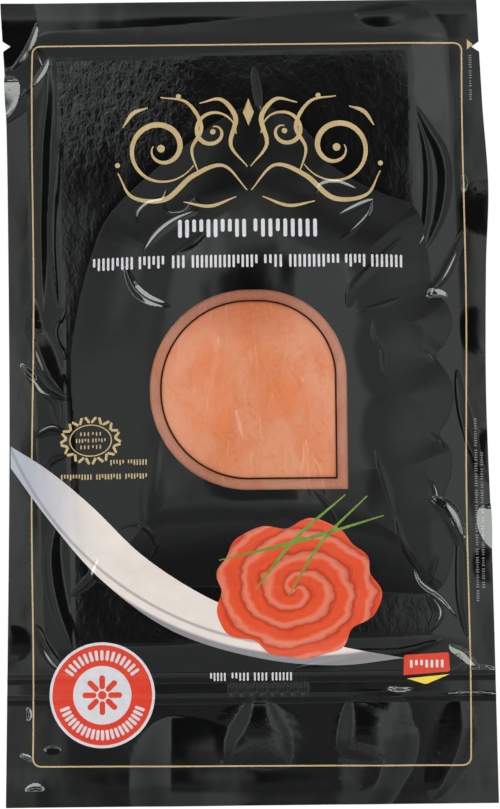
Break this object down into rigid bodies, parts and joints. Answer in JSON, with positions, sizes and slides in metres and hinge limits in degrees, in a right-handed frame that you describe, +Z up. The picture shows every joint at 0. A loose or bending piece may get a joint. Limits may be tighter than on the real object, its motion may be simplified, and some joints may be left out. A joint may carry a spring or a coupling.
{
  "type": "vacuum pack of sliced smoked salmon",
  "caption": "Flat sealed film pouch over a thin carrier board, with slices of smoked fish that bulge under it and show through a clear window.",
  "frame": {"origin": "middle of the pack's box in plan, on the surface that its flat back lies on", "axes": "+Z up out of the printed front, +Y towards the top edge of the pack, +X to the right of the front"},
  "size_m": [0.15, 0.2464, 0.0098],
  "materials": {
    "printed_film": "glossy black printed laminate film, creased by the vacuum",
    "smoked_fish": "moist pale orange fish with soft darker bands",
    "clear_film": "clear glossy film with a faint lilac border band"
  },
  "bodies": {
    "root": {"pouch": "printed_film", "salmon": "smoked_fish", "window_film": "clear_film"}
  },
  "joints": []
}
